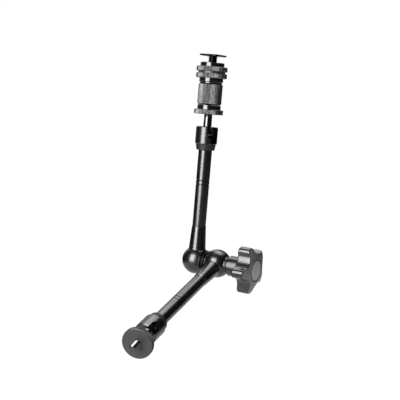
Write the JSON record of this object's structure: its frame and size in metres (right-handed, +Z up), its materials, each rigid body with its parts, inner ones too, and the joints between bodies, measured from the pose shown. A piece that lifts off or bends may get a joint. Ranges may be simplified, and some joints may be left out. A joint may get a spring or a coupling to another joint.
{
  "type": "articulating friction arm",
  "caption": "Folding support arm: tubes on ball knuckles with a star-knob elbow, slotted ball sockets, a threaded stud and a shoe-foot adapter.",
  "frame": {"origin": "on the axis of the lower ball stud's bare thread, in the outer face of the lower lock nut", "axes": "+Z up along the upper arm, out of the shoe foot; +X along the elbow axis towards the star knob; the lower arm runs from the origin towards +Y and up"},
  "size_m": [0.0747, 0.1603, 0.243],
  "materials": {
    "anodised": "black anodised, semi-gloss",
    "collar_matte": "matte black",
    "black_steel": "black oxide",
    "bright_steel": "ground",
    "shoe_nylon": "matte",
    "knob_plastic": "satin face",
    "cap_plastic": "satin grey"
  },
  "bodies": {
    "lower_nut": {"lower_lock_nut": "anodised"},
    "lower_stud": {"lower_ball_stud": "black_steel"},
    "lower_arm": {"lower_socket": "anodised", "lower_collar": "collar_matte", "lower_tube": "anodised", "lower_knuckle": "anodised", "thrust_washer": "shoe_nylon", "friction_washer": "shoe_nylon"},
    "lower_rod": {"lower_push_rod": "bright_steel", "lower_ball_shoe": "shoe_nylon"},
    "spindle": {"elbow_spindle": "black_steel"},
    "knob": {"knob_hub": "anodised", "star_knob": "knob_plastic", "knob_cap": "cap_plastic"},
    "upper_arm": {"upper_knuckle": "anodised", "upper_tube": "anodised", "upper_collar": "collar_matte", "upper_socket": "anodised"},
    "upper_rod": {"upper_push_rod": "bright_steel", "upper_ball_shoe": "shoe_nylon"},
    "upper_stud": {"upper_ball_stud": "black_steel"},
    "upper_nut": {"upper_lock_nut": "anodised"},
    "adapter": {"adapter_body": "anodised"},
    "foot": {"shoe_foot": "black_steel"},
    "jam_nut_body": {"jam_nut": "anodised"},
    "shoe_nut_body": {"shoe_nut": "anodised"}
  },
  "joints": [
    {"name": "stud_spin", "type": "hinge", "parent": "lower_nut", "child": "lower_stud", "pos_m": [0, 0, 0], "axis": [0.2011, -0.9588, -0.2008], "continuous": true},
    {"name": "lower_ball_tilt", "type": "hinge", "parent": "lower_stud", "child": "lower_arm", "pos_m": [-0.00507, 0.02416, 0.00506], "axis": [0.6293, 0.2836, -0.7236], "range_deg": [-20, 75]},
    {"name": "elbow", "type": "hinge", "parent": "lower_arm", "child": "upper_arm", "pos_m": [-0.00507, 0.13067, 0.0468], "axis": [1, 0, 0], "range_deg": [-206.6, 69.4]},
    {"name": "spindle_draw", "type": "slide", "parent": "lower_arm", "child": "spindle", "axis": [-1, 0, 0], "range_m": [0, 0.001]},
    {"name": "knob_turn", "type": "hinge", "parent": "lower_arm", "child": "knob", "pos_m": [-0.00507, 0.13067, 0.0468], "axis": [1, 0, 0], "range_deg": [0, 360]},
    {"name": "lower_rod_slide", "type": "slide", "parent": "lower_arm", "child": "lower_rod", "axis": [0, 0.9311, 0.3649], "range_m": [0, 0.00025]},
    {"name": "upper_rod_slide", "type": "slide", "parent": "upper_arm", "child": "upper_rod", "axis": [0, 0, -1], "range_m": [0, 0.00025]},
    {"name": "upper_ball_tilt", "type": "hinge", "parent": "upper_arm", "child": "upper_stud", "pos_m": [-0.02647, 0.13067, 0.1612], "axis": [0.5878, 0.809, 0], "range_deg": [-5, 90]},
    {"name": "upper_nut_turn", "type": "hinge", "parent": "upper_stud", "child": "upper_nut", "pos_m": [-0.02647, 0.13067, 0.0468], "axis": [0, 0, 1], "continuous": true},
    {"name": "adapter_turn", "type": "hinge", "parent": "upper_stud", "child": "adapter", "pos_m": [-0.02647, 0.13067, 0.0468], "axis": [0, 0, 1], "continuous": true},
    {"name": "foot_turn", "type": "hinge", "parent": "adapter", "child": "foot", "pos_m": [-0.02647, 0.13067, 0.0468], "axis": [0, 0, 1], "continuous": true},
    {"name": "jam_nut_turn", "type": "hinge", "parent": "foot", "child": "jam_nut_body", "pos_m": [-0.02647, 0.13067, 0.0468], "axis": [0, 0, 1], "continuous": true},
    {"name": "shoe_clamp", "type": "slide", "parent": "foot", "child": "shoe_nut_body", "axis": [0, 0, 1], "range_m": [0, 0.0055]}
  ],
  "couplings": [
    {"joint": "knob_turn", "follows": "spindle_draw", "rad_per_m": 6283.2},
    {"joint": "lower_rod_slide", "follows": "spindle_draw", "ratio": 0.2499},
    {"joint": "upper_rod_slide", "follows": "spindle_draw", "ratio": 0.2499}
  ]
}
